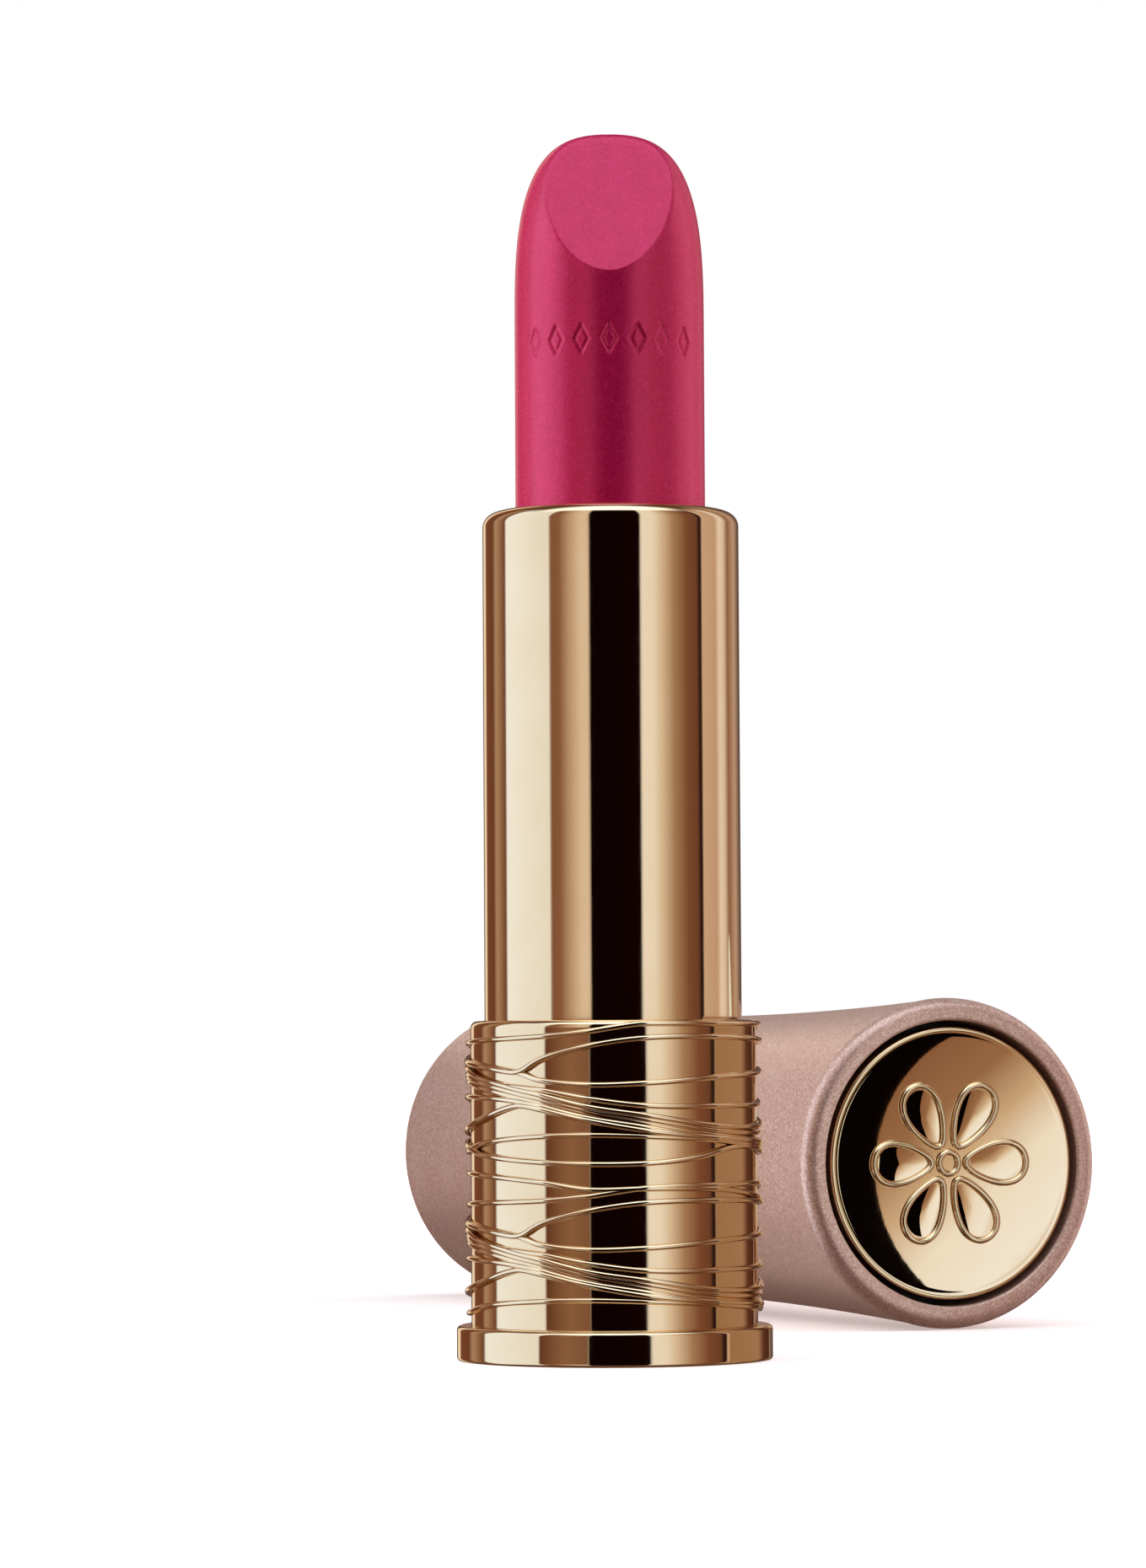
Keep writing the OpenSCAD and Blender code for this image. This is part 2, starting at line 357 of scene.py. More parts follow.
def wax_material():
    """Satin magenta wax with a fine shimmer and faint mould streaks."""
    m = Nodes("bullet_wax")
    m.set(Metallic=0.3, IOR=1.45, Specular_IOR_Level=0.6)
    m.set(Subsurface_Weight=0.05, Subsurface_Radius=(0.0012, 0.0003, 0.0005), Subsurface_Scale=0.4)
    tone, gloss, _ = m.flakes(12000.0)
    streak = m.noise(900.0, 3.0, stretch=(1, 1, 0.15))
    ground = m.mix(m.remap(streak, 0.0, 1.0), WAX_MID, WAX_DEEP)
    m.drive("Base Color", m.mix(m.remap(tone, 0.0, 0.55, 0.55, 1.0), ground, WAX_LIGHT))
    m.drive("Roughness", m.remap(gloss, 0.24, 0.36, 0.0, 1.0))
    m.drive("Normal", m.bump(m.noise(5200.0, 3.0), 0.10, 0.04 * MM))
    return m.material


def plastic_material(name, light, dark, rough, grain_scale=6000.0, grain=0.12):
    """Moulded plastic: slightly uneven colour and a fine spark-eroded grain."""
    m = Nodes(name)
    m.set(IOR=1.5)
    cloud = m.noise(350.0, 3.0)
    m.drive("Base Color", m.mix(m.remap(cloud, 0.0, 1.0), light, dark))
    fine = m.noise(grain_scale, 3.0)
    m.drive("Roughness", m.remap(fine, rough * 0.85, rough * 1.2))
    m.drive("Normal", m.bump(fine, grain, 0.03 * MM))
    return m.material


def steel_material():
    """Drawn and turned steel with fine lines."""
    m = Nodes("steel")
    m.set(Metallic=1.0)
    lines = m.noise(4000.0, 3.0, stretch=(1, 1, 8))
    m.drive("Base Color", m.mix(m.remap(lines, 0.0, 1.0), (0.62, 0.62, 0.63), (0.42, 0.42, 0.43)))
    m.drive("Roughness", m.remap(lines, 0.2, 0.38))
    m.drive("Normal", m.bump(lines, 0.1, 0.02 * MM))
    return m.material


GOLD_TINT = (0.86, 0.64, 0.40)
GOLD_DARK = (0.835, 0.61, 0.37)
PEARL_MID = (0.63, 0.35, 0.265)
PEARL_DEEP = (0.57, 0.31, 0.235)
PEARL_LIGHT = (0.82, 0.55, 0.45)
WAX_MID = (0.62, 0.003, 0.078)
WAX_DEEP = (0.56, 0.002, 0.066)
WAX_LIGHT = (0.84, 0.03, 0.17)

GOLD = gold_material("gold", GOLD_TINT, GOLD_DARK, 0.045)
CLEAR = gold_material("gold_clear", GOLD_TINT, GOLD_DARK, 0.018)
WIRE = gold_material("gold_wire", (0.88, 0.67, 0.44), GOLD_DARK, 0.05)
PEARL = pearl_material()
WAX = wax_material()
BLACK = plastic_material("black_plastic", (0.022, 0.019, 0.018), (0.012, 0.010, 0.010), 0.42)
NATURAL = plastic_material("natural_plastic", (0.80, 0.76, 0.68), (0.72, 0.68, 0.60), 0.38)
RUBBER = plastic_material("elastomer", (0.03, 0.03, 0.033), (0.018, 0.018, 0.02), 0.75, 3000.0, 0.2)
LABEL = plastic_material("label_paper", (0.78, 0.75, 0.70), (0.70, 0.66, 0.61), 0.55, 2500.0, 0.15)
STEEL = steel_material()

SLOT_MATERIAL = {
    "gold": GOLD,
    "gold_wire": WIRE,
    "rose_pearl": PEARL,
    "bullet_wax": WAX,
    "black_plastic": BLACK,
    "natural_plastic": NATURAL,
    "elastomer": RUBBER,
    "steel": STEEL,
    "label_paper": LABEL,
}


def dress_cad_nodes():
    """Gives each CAD node that stays in view the material of its slot."""
    for part in frame["record"]["subparts"]:
        node = frame["nodes"][part["node"]]
        node.data.materials.clear()
        node.data.materials.append(SLOT_MATERIAL[part["material_slot"]])


# ---------------------------------------------------------------------------
# Base
# ---------------------------------------------------------------------------

def gold_foot():
    """The foot: a ring with rounded outer edges."""
    inner, chamfer = 8.0 * MM, 0.05 * MM
    top, edge, bottom_edge = FOOT_HI.z, 0.32 * MM, 0.22 * MM
    profile = [(inner, FOOT_LO.z + chamfer), (inner + chamfer, FOOT_LO.z)]
    profile += arc((FOOT_R - bottom_edge, FOOT_LO.z + bottom_edge), bottom_edge, -90, 0)
    profile += arc((FOOT_R - edge, top - edge), edge, 0, 90)
    profile += [(inner, top)]
    verts, faces = lathe_mesh(hold(profile))
    return new_piece("gold_foot", verts, faces, GOLD, "base", "foot_ring")


def gold_collar():
    """The sleeve round the tube, with a rounded shoulder."""
    play = 0.07 * MM
    inner = TUBE_R + play
    edge, lip = 0.45 * MM, 0.12 * MM
    profile = [(inner, COLLAR_LO.z), (COLLAR_R, COLLAR_LO.z)]
    profile += arc((COLLAR_R - edge, COLLAR_HI.z - edge), edge, 0, 90)
    profile += arc((inner + lip, COLLAR_HI.z - lip), lip, 90, 180, 5)
    verts, faces = lathe_mesh(hold(profile))
    return new_piece("gold_collar", verts, faces, GOLD, "base", "base_collar")


def round_curve(knots, steps):
    """A closed smooth curve of height against angle through the given knots [(degrees, millimetres)]."""
    knots = sorted(knots)
    n = len(knots)
    out = []
    for i in range(steps):
        a = -180 + 360 * i / steps
        k = max((j for j in range(n) if knots[j][0] <= a), default=-1)
        p = [knots[(k + d) % n] for d in (-1, 0, 1, 2)]
        x = [q[0] for q in p]
        for d in range(4):
            turn = (k + d - 1) // n
            x[d] += 360 * turn
        t = (a - x[1]) / (x[2] - x[1])
        # How steep the curve is at the knots before and after
        m1 = (p[2][1] - p[0][1]) / (x[2] - x[0]) * (x[2] - x[1])
        m2 = (p[3][1] - p[1][1]) / (x[3] - x[1]) * (x[2] - x[1])
        h = (
            (2 * t**3 - 3 * t**2 + 1) * p[1][1]
            + (t**3 - 2 * t**2 + t) * m1
            + (-2 * t**3 + 3 * t**2) * p[2][1]
            + (t**3 - t**2) * m2
        )
        out.append((math.radians(a), h * MM))
    return out


# The relief repeats upward. Its wires' radius, how far the lowest layer lies out and the layers'
# spread, and the points along one turn
WIRE_PERIOD = 10.17 * MM
WIRE_R = 0.18 * MM
WIRE_OUT, WIRE_LAYER = 0.09 * MM, 0.16 * MM
WIRE_STEPS = 240
# The wires lie between these heights. One that would pass the top by WIRE_OVER, or come nearer to
# the lower height than WIRE_CLEAR, is left out
WIRE_LOW, WIRE_HIGH = COLLAR_LO.z + 0.2 * MM, COLLAR_HI.z - 0.25 * MM
WIRE_OVER, WIRE_CLEAR = 0.6 * MM, 0.4 * MM

# One period of the relief. For each wire: its layer, from 0 to 1, and its knots, as angles from the
# front in degrees and heights above the floor in millimetres.
WIRES = [
    (0.2, [(-90, 9.8), (-30, 10.2), (-10, 10.5), (13, 11.0), (46, 11.1), (90, 11.0), (140, 9.4),
           (-140, 9.0)]),
    (0.9, [(-90, 8.7), (-60, 8.3), (-43, 8.0), (-38, 8.1), (-30, 8.75), (-10, 9.6), (13, 10.1), (46, 10.15),
           (90, 9.9), (150, 9.3), (-140, 9.0)]),
    (0.5, [(-90, 8.8), (-41, 8.0), (-30, 7.5), (-10, 7.2), (13, 7.3), (46, 7.65), (90, 8.0), (140, 8.9),
           (-145, 9.6)]),
    (0.3, [(-90, 7.7), (-60, 7.3), (-30, 6.9), (-10, 6.35), (13, 5.9), (46, 5.85), (90, 6.0), (150, 7.2),
           (-140, 8.0)]),
    (0.8, [(-90, 8.3), (-60, 7.5), (-30, 6.6), (-10, 5.85), (13, 5.3), (46, 4.6), (90, 4.7), (150, 6.3),
           (-140, 7.9)]),
    (0.4, [(-90, 7.9), (-60, 7.2), (-30, 6.35), (-10, 5.6), (13, 5.05), (46, 4.3), (90, 4.2), (150, 5.4),
           (-140, 7.2)]),
    (0.1, [(-90, 7.4), (-60, 6.9), (-30, 6.1), (-10, 5.4), (13, 4.8), (46, 4.0), (90, 3.7), (150, 4.4),
           (-140, 6.2)]),
    (0.6, [(-90, 6.4), (-60, 6.4), (-41, 6.2), (-30, 5.9), (-10, 5.15), (13, 4.55), (46, 3.7), (90, 3.3),
           (150, 3.7), (-140, 5.3)]),
    (0.9, [(-90, 4.3), (-65, 5.0), (-41, 5.9), (-30, 5.7), (-10, 5.0), (13, 4.35), (46, 3.85), (90, 3.5),
           (150, 3.1), (-140, 3.4)]),
    (0.3, [(-90, 2.95), (-55, 3.7), (-30, 4.0), (-10, 4.1), (13, 4.0), (46, 3.7), (90, 3.15), (140, 3.3),
           (-140, 3.0)]),
    (0.7, [(-90, 3.5), (-60, 2.8), (-30, 2.42), (-10, 2.3), (13, 2.35), (35, 2.7), (50, 3.2), (65, 3.3),
           (90, 2.9), (150, 2.5), (-140, 3.9)]),
    (0.2, [(-90, 11.8), (-60, 11.7), (-30, 11.35), (-10, 10.9), (13, 10.95), (46, 10.85), (90, 10.2),
           (150, 10.6), (-140, 11.5)]),
]


def collar_wires():
    """The relief of crossing wires: two periods, with each wire following its own knots round the collar."""
    parts = []
    for period in (0, 1):
        for layer, knots in WIRES:
            curve = [(a, z + period * WIRE_PERIOD) for a, z in round_curve(knots, WIRE_STEPS)]
            heights = [z for _, z in curve]
            if max(heights) > WIRE_HIGH + WIRE_OVER or min(heights) < WIRE_LOW + WIRE_CLEAR:
                continue
            radius = COLLAR_R + WIRE_OUT + layer * WIRE_LAYER
            points = []
            for a, z in curve:
                turn, z = a + VIEW_TURN, min(max(z, WIRE_LOW), WIRE_HIGH)
                points.append(Vector((radius * math.sin(turn), -radius * math.cos(turn), z)))
            parts.append(collar_wire(points, WIRE_R))
    verts, faces = join_meshes(parts)
    return new_piece("collar_wires", verts, faces, WIRE, "base", "thread_wrap")


# ---------------------------------------------------------------------------
# Tube and bullet
# ---------------------------------------------------------------------------

def gold_tube():
    """The polished tube, with a full rim round the opening for the bullet."""
    inner, rim, shoulder = 7.7 * MM, 6.7 * MM, 1.1 * MM
    top, edge, lip = TUBE_HI.z, 0.9 * MM, 0.3 * MM
    profile = [(inner, TUBE_LO.z), (TUBE_R, TUBE_LO.z)]
    profile += arc((TUBE_R - edge, top - edge), edge, 0, 90, 14)
    profile += arc((rim + lip, top - lip), lip, 90, 180, 8)
    profile += [(rim, top - shoulder), (inner, top - shoulder)]
    verts, faces = lathe_mesh(hold(profile), 256)
    return new_piece("gold_tube", verts, faces, GOLD, "tube", "tube_shell")


def smooth_step(x):
    """Rises from 0 to 1 with level ends."""
    x = min(max(x, 0.0), 1.0)
    return x * x * (3 - 2 * x)


NOSE_Z, NOSE_H, NOSE_FULL = 65.6 * MM, 12.3 * MM, 3.0
SLANT_Z, SLANT_ANGLE = 68.4 * MM, math.radians(65)
SLANT_SOFT = 0.5 * MM

# A row of plain lozenges pressed into the front of the stick
LOZENGES = 7
LOZENGE_STEP = math.radians(17)
LOZENGE_Z = 64.2 * MM
LOZENGE_TALL, LOZENGE_WIDE, LOZENGE_DEEP = 1.15 * MM, 0.62 * MM, 0.11 * MM


def slant_height(turn, r):
    """Height of the slanted face at a radius, turn away from its front."""
    return SLANT_Z + (WAX_R - r * math.cos(turn)) * math.tan(SLANT_ANGLE)


def nose_height(turn, r, height):
    """The nose and the slanted face, with the edge between them softened."""
    other = slant_height(turn, r)
    near = max(SLANT_SOFT - abs(height - other), 0) / SLANT_SOFT
    return min(height, other) - near * near * SLANT_SOFT / 4


def lozenge_depth(turn, z):
    """How deep the stick is pressed in, at a turn from its front and a height."""
    k = min(max(round(turn / LOZENGE_STEP), -(LOZENGES // 2)), LOZENGES // 2)
    across = abs(turn - k * LOZENGE_STEP) * WAX_R / LOZENGE_WIDE
    up = abs(z - LOZENGE_Z) / LOZENGE_TALL
    inside = 1 - across - up
    groove = smooth_step(inside / 0.22) - 0.55 * smooth_step((inside - 0.32) / 0.2)
    return LOZENGE_DEEP * groove


def bullet():
    """The stick: a full nose cut by a slant whose edge is softened, and a row of pressed lozenges."""
    segments, rings = 384, 90
    turn = VIEW_TURN
    band = LOZENGE_TALL * 1.1
    side = [WAX_LO.z, WAX_LO.z + 0.05 * MM]
    side += [WAX_LO.z + (LOZENGE_Z - band - WAX_LO.z) * i / 6 for i in range(1, 7)]
    side += [LOZENGE_Z - band + 2 * band * i / 48 for i in range(1, 49)]
    side += [LOZENGE_Z + band + (NOSE_Z - LOZENGE_Z - band) * i / 8 for i in range(1, 8)]
    verts = [Vector((0, 0, WAX_LO.z))]
    for z in side:
        for k in range(segments):
            a = 2 * math.pi * k / segments
            from_front = math.remainder(a, 2 * math.pi)
            r = WAX_R - lozenge_depth(from_front, z)
            verts.append(Vector((r * math.sin(a + turn), -r * math.cos(a + turn), z)))
    for i in range(rings):
        t = math.pi / 2 * i / rings
        r = WAX_R * math.cos(t) ** (2 / NOSE_FULL)
        height = NOSE_Z + NOSE_H * math.sin(t) ** (2 / NOSE_FULL)
        for k in range(segments):
            a = 2 * math.pi * k / segments
            z = nose_height(a, r, height) if i else NOSE_Z
            verts.append(Vector((r * math.sin(a + turn), -r * math.cos(a + turn), z)))
    verts.append(Vector((0, 0, nose_height(0, 0, NOSE_Z + NOSE_H))))
    rows = len(side) + rings
    faces = [(0, 1 + k, 1 + (k + 1) % segments) for k in range(segments)]
    for row in range(rows - 1):
        low, high = 1 + row * segments, 1 + (row + 1) * segments
        for k in range(segments):
            m = (k + 1) % segments
            faces.append((low + k, high + k, high + m, low + m))
    last = 1 + (rows - 1) * segments
    faces += [(last + k, len(verts) - 1, last + (k + 1) % segments) for k in range(segments)]
    obj = new_piece("wax_bullet", verts, faces, WAX, "carrier", "lipstick_bullet")
    return face_outward(obj)


# ---------------------------------------------------------------------------
# Cap
# ---------------------------------------------------------------------------

CAP_WAIST_R = 10.57 * MM


def cap_outline():
    """Radius of the waisted shell against the distance from its mouth."""
    half = CAP_LEN / 2
    rise = CAP_END_R - CAP_WAIST_R
    bend = (half**2 + rise**2) / (2 * rise)
    return lambda z: CAP_WAIST_R + bend - math.sqrt(bend**2 - (z - half) ** 2)


def cap_body():
    """The waisted shell, with rounded ends and a bead round the button."""
    outline = cap_outline()
    bore, lip_bore, back = 10.15 * MM, 9.95 * MM, 66.0 * MM
    edge, bead, chamfer = 1.0 * MM, 0.25 * MM, 0.15 * MM
    steps = 64
    profile = [(bore, back), (bore, chamfer), (bore + chamfer, 0.0)]
    profile += arc((CAP_END_R - edge, edge), edge, -90, 0, 12)
    for i in range(1, steps):
        z = edge + (CAP_LEN - 2 * edge) * i / steps
        profile.append((outline(z), z))
    profile += arc((CAP_END_R - edge, CAP_LEN - edge), edge, 0, 90, 12)
    profile += arc((lip_bore + bead, CAP_LEN - bead), bead, 90, 180, 8)
    profile += [(lip_bore, back)]
    verts, faces = lathe_mesh(hold(profile, long_side=1.2 * MM), 224, place=lay_down)
    obj = new_piece("cap_body", verts, faces, PEARL, "cap", "cap_shell")
    return face_outward(obj)


# The dish in the button's face. Heights are from the cap's mouth.
DISH_DEPTH = 0.55 * MM
DISH_R = DISC_R - 0.32 * MM
DISC_BACK = CAP_AXIS.y + CAP_LEN - DISC_HI.y
DISC_FACE = CAP_AXIS.y + CAP_LEN - DISC_LO.y


def dish_height(x):
    """Height of the dished face at a distance from its middle."""
    ball = (DISH_R**2 + DISH_DEPTH**2) / (2 * DISH_DEPTH)
    if x >= DISH_R:
        return DISC_FACE
    return DISC_FACE - DISH_DEPTH + ball - math.sqrt(ball**2 - x**2)


def button_face():
    """The disc: a rounded edge, a narrow land and the dish."""
    edge, land, drop = 0.18 * MM, 0.04 * MM, 0.01 * MM
    profile = [(0.0, DISC_BACK), (DISC_R, DISC_BACK)]
    profile += arc((DISC_R - edge, DISC_FACE - edge), edge, 0, 90, 8)
    profile += [(DISH_R + land, DISC_FACE), (DISH_R, DISC_FACE - drop)]
    steps = 48
    for i in range(1, steps + 1):
        r = DISH_R * (1 - i / steps)
        profile.append((r, dish_height(r)))
    verts, faces = lathe_mesh(hold(profile, long_side=0.6 * MM), 224, closed=False, place=lay_down)
    obj = new_piece("button_face", verts, faces, CLEAR, "button", "button_disc")
    return face_outward(obj)


PETALS = 6
PETAL_MID, PETAL_LONG, PETAL_WIDE = 3.7 * MM, 2.35 * MM, 1.35 * MM
PETAL_STEPS = 72
# How much wider a petal is at its tip than at its root, how high its face is pillowed, and how far
# down its edge lies
PETAL_FLARE = 0.35
PETAL_RISE, PETAL_SINK = 0.06 * MM, 0.02 * MM
EYE_R, EYE_STEPS = 0.76 * MM, 48
# The raised lines: half their width, their height to their width, and how far up their middle lies
LINE_R, LINE_TALL, LINE_UP = 0.24 * MM, 1.1, 0.02 * MM


def petal_points(turn):
    """The outline of the petal that points in the direction of turn."""
    points = []
    for i in range(PETAL_STEPS):
        a = 2 * math.pi * i / PETAL_STEPS
        x = PETAL_MID + PETAL_LONG * math.cos(a)
        y = PETAL_WIDE * math.sin(a) * (1 + PETAL_FLARE * math.cos(a))
        points.append((x * math.cos(turn) - y * math.sin(turn), x * math.sin(turn) + y * math.cos(turn)))
    return points


def raised_line(points, sides=10):
    """A line of oval section along a closed outline on the dish."""
    path = [Vector((x, y, dish_height(math.hypot(x, y)) + LINE_UP)) for x, y in points]
    n = len(path)
    up = Vector((0, 0, 1))
    verts = []
    for i, p in enumerate(path):
        along = (path[(i + 1) % n] - path[(i - 1) % n]).normalized()
        side = along.cross(up).normalized()
        for k in range(sides):
            a = 2 * math.pi * k / sides
            tall, wide = LINE_R * LINE_TALL * math.sin(a), LINE_R * math.cos(a)
            verts.append(lay_down(p + up * tall + side * wide))
    return verts, tube_faces(n, sides)


def petal_pad(points):
    """The pillowed face inside a petal's outline."""
    rings, n = 9, len(points)
    mid = (sum(p[0] for p in points) / n, sum(p[1] for p in points) / n)
    verts, faces = [], []
    for i in range(rings):
        f = 1 - i / rings
        rise = PETAL_RISE * (1 - f**2) - PETAL_SINK * f
        for x, y in points:
            px, py = mid[0] + (x - mid[0]) * f, mid[1] + (y - mid[1]) * f
            verts.append(lay_down(Vector((px, py, dish_height(math.hypot(px, py)) + rise))))
    verts.append(lay_down(Vector((mid[0], mid[1], dish_height(math.hypot(*mid)) + PETAL_RISE))))
    for i in range(rings - 1):
        for k in range(n):
            m = (k + 1) % n
            faces.append((i * n + k, i * n + m, (i + 1) * n + m, (i + 1) * n + k))
    faces += [((rings - 1) * n + k, (rings - 1) * n + (k + 1) % n, rings * n) for k in range(n)]
    faces.append(tuple(range(n))[::-1])
    return verts, faces


def emblem():
    """A generic rosette: petal outlines with pillowed faces and a small ring, raised from the dish."""
    parts = []
    for k in range(PETALS):
        points = petal_points(2 * math.pi * k / PETALS)
        parts.append(raised_line(points))
        parts.append(petal_pad(points))
    angles = [2 * math.pi * i / EYE_STEPS for i in range(EYE_STEPS)]
    parts.append(raised_line([(EYE_R * math.cos(a), EYE_R * math.sin(a)) for a in angles]))
    verts, faces = join_meshes(parts)
    obj = new_piece("button_rosette", verts, faces, CLEAR, "button", "button_emblem")
    return face_outward(obj)


# ---------------------------------------------------------------------------
# Stage: floor, cards and flags, studio light and camera
# ---------------------------------------------------------------------------

FLOOR_SIZE = 3.0

# To the camera's right, away from it, and up, turned into the frame
TO_FRAME = Matrix.Rotation(VIEW_TURN, 3, "Z")

# Where the dish looks to, and what it sees there, from the upper left of a card to its lower right
HOLE = Vector((DISC_LO.x + 21.28 * MM, DISC_LO.y - 17.5 * MM, DISC_LO.z + DISC_R - 0.8 * MM))
DISH_GLOW = [
    (0.22, (0.26, 0.13, 0.08)),
    (0.36, (0.36, 0.22, 0.14)),
    (0.45, (0.70, 0.60, 0.50)),
    (0.54, (1.00, 1.12, 1.30)),
    (0.66, (1.04, 1.22, 1.55)),
    (0.76, (0.75, 0.70, 0.62)),
]
FLAG_GLOW = (0.002, 0.001, 0.001)
RIM_GLOW = (0.85, 0.95, 0.95)
LEFT_GLOW = [
    (0.0, (0.13, 0.05, 0.03)),
    (0.3, (0.20, 0.10, 0.06)),
    (0.7, (0.29, 0.165, 0.105)),
    (1.0, (0.24, 0.13, 0.085)),
]
RIGHT_GLOW = [
    (0.0, (0.38, 0.24, 0.15)),
    (0.45, (0.41, 0.26, 0.17)),
    (0.62, (0.12, 0.045, 0.025)),
    (1.0, (0.06, 0.02, 0.012)),
]


def floor():
    """A white floor for the camera alone, with the soft shadows of the object on it."""
    corners = [(-1, -1), (1, -1), (1, 1), (-1, 1)]
    obj = add_mesh("floor", [(x * FLOOR_SIZE, y * FLOOR_SIZE, 0) for x, y in corners], [(0, 1, 2, 3)])
    m = Nodes("floor")
    m.set(Roughness=0.55, Base_Color=(0.98, 0.77, 0.71, 1), Specular_IOR_Level=0.25)
    # A little light of its own keeps it white beside the soft shadows
    m.set(Emission_Color=(1, 1, 1, 1), Emission_Strength=0.3)
    obj.data.materials.append(m.material)
    # The set's light reaches the object from below too, as over a white sweep
    obj.visible_glossy = False
    obj.visible_diffuse = False


def stage_card(name, verts, faces, material):
    """A card of the set that only reflections see."""
    obj = add_mesh(name, verts, faces)
    obj.data.materials.append(material)
    obj.visible_camera = False
    obj.visible_diffuse = False
    obj.visible_shadow = False
    return obj


def side_flag():
    """A dark flag at the left of the set: it keeps the strong left light off the far end of the cap."""
    left, near, far, low, top = -64 * MM, 70 * MM, 150 * MM, 8 * MM, 38 * MM
    m = Nodes("side_flag")
    m.set(Roughness=1.0, Base_Color=(0.10, 0.05, 0.04, 1))
    corners = ((left, near, low), (left, far, low), (left, far, top), (left, near, top))
    obj = stage_card("side_flag", [TO_FRAME @ Vector(c) for c in corners], [(0, 1, 2, 3)], m.material)
    # Light on surfaces sees it, and reflections don't
    obj.visible_diffuse = True
    obj.visible_shadow = True
    obj.visible_glossy = False


def glow_card(name, corners, weights, stops):
    """A glowing card. Its colour follows the stops along a weighted sum of its own X and Z, from 0 to 1."""
    m = Nodes(name)
    m.set_glow()
    at = m.add("ShaderNodeTexCoord")
    along = m.add("ShaderNodeVectorMath", operation="DOT_PRODUCT")
    m.link(at.outputs["Generated"], along.inputs[0])
    along.inputs[1].default_value = weights
    low, high = min(weights[0], 0) + min(weights[2], 0), max(weights[0], 0) + max(weights[2], 0)
    ramp = m.add("ShaderNodeValToRGB")
    set_stops(ramp, stops)
    m.link(m.remap(along.outputs["Value"], 0.0, 1.0, low, high), ramp.inputs["Fac"])
    m.drive("Emission Color", ramp.outputs["Color"])
    stage_card(name, corners, [(0, 1, 2, 3)], m.material)


def arc_card(name, inner, outer, first, last, glow):
    """A card shaped as part of an oval ring round the hole, with an even glow."""
    steps = 40
    verts = []
    for i in range(steps + 1):
        a = math.radians(first + (last - first) * i / steps)
        for wide, tall in (inner, outer):
            verts.append((HOLE.x - wide * math.cos(a), HOLE.y, HOLE.z + tall * math.sin(a)))
    faces = [(2 * i, 2 * i + 1, 2 * i + 3, 2 * i + 2) for i in range(steps)]
    m = Nodes(name)
    m.set_glow(glow)
    stage_card(name, verts, faces, m.material)


def button_cards():
    """What the button sees: a glow, a black flag for the crescent in its dish, and a pale card for rims."""
    hole, flag, pale = (4.4 * MM, 6.2 * MM), (6.8 * MM, 8.6 * MM), (16.0 * MM, 17.0 * MM)
    arc_card("button_flag", hole, flag, -95, 95, FLAG_GLOW)
    arc_card("rim_card", flag, pale, -80, 110, RIM_GLOW)
    behind, wide, tall = 1.5 * MM, 6.0 * MM, 7.0 * MM
    corners = ((-wide, -tall), (wide, -tall), (wide, tall), (-wide, tall))
    corners = [(HOLE.x + x, HOLE.y - behind, HOLE.z + z) for x, z in corners]
    glow_card("dish_card", corners, (1, 0, -1), DISH_GLOW)


def base_cards():
    """Low brown cards at the left front and at the right of the base, little higher than its collar."""
    low, top = -8 * MM, COLLAR_HI.z + 0.3 * MM
    for name, start, end, stops in (
        ("left_card", (-51.4 * MM, -40 * MM), (-12.4 * MM, -40 * MM), LEFT_GLOW),
        ("right_card", (20 * MM, -6.6 * MM), (20 * MM, 17 * MM), RIGHT_GLOW),
    ):
        corners = [(*start, low), (*end, low), (*end, top), (*start, top)]
        glow_card(name, [TO_FRAME @ Vector(c) for c in corners], (1, 0, 0), stops)


# Bands of the studio round the camera's direction: where each starts, in degrees to the camera's
# right, and what it sends back. Soft boxes, grey cards and black flags of a product set.
STUDIO = [
    (-168, (0.12, 0.07, 0.05)),
    (-162, (0.95, 0.80, 0.62)),
    (-155, (0.95, 0.80, 0.62)),
    (-152, (0.20, 0.08, 0.045)),
    (-133, (0.17, 0.065, 0.035)),
    (-127, (0.46, 0.33, 0.25)),
    (-122, (0.40, 0.26, 0.18)),
    (-110, (0.15, 0.055, 0.03)),
    (-109, (1.02, 1.24, 1.60)),
    (-57, (0.93, 1.08, 1.28)),
    (-56, (0.25, 0.125, 0.08)),
    (-47, (0.29, 0.15, 0.095)),
    (-36, (0.60, 0.49, 0.41)),
    (-27, (0.80, 0.75, 0.71)),
    (-20, (0.80, 0.75, 0.71)),
    (-19, (0.004, 0.001, 0.001)),
    (26, (0.006, 0.001, 0.001)),
    (27, (0.95, 1.03, 1.16)),
    (38, (0.93, 0.99, 1.07)),
    (46, (0.76, 0.71, 0.66)),
    (58, (0.42, 0.29, 0.20)),
    (72, (0.225, 0.095, 0.055)),
    (84, (0.16, 0.07, 0.045)),
    (85, (0.03, 0.012, 0.01)),
    (89, (0.03, 0.012, 0.01)),
    (90, (0.66, 0.54, 0.47)),
    (108, (0.60, 0.45, 0.38)),
    (114, (0.88, 0.86, 0.90)),
    (121, (0.80, 0.74, 0.72)),
    (129, (0.29, 0.155, 0.095)),
    (144, (0.56, 0.41, 0.33)),
    (160, (0.14, 0.09, 0.07)),
]
CEILING = (1.7, 2.05, 2.4)
BACK_CEILING = (0.13, 0.065, 0.04)
SWEEP = (0.14, 0.08, 0.055)
# Where one goes over into another: a range of height, or of distance away from the camera, in a
# direction of length 1
CEILING_EDGE, CEILING_SPLIT = (0.62, 0.86), (-0.25, 0.1)
FRONT_SWEEP_EDGE, BACK_SWEEP_EDGE, SWEEP_SPLIT = (-0.72, -0.46), (-0.5, -0.25), (0.3, 0.5)

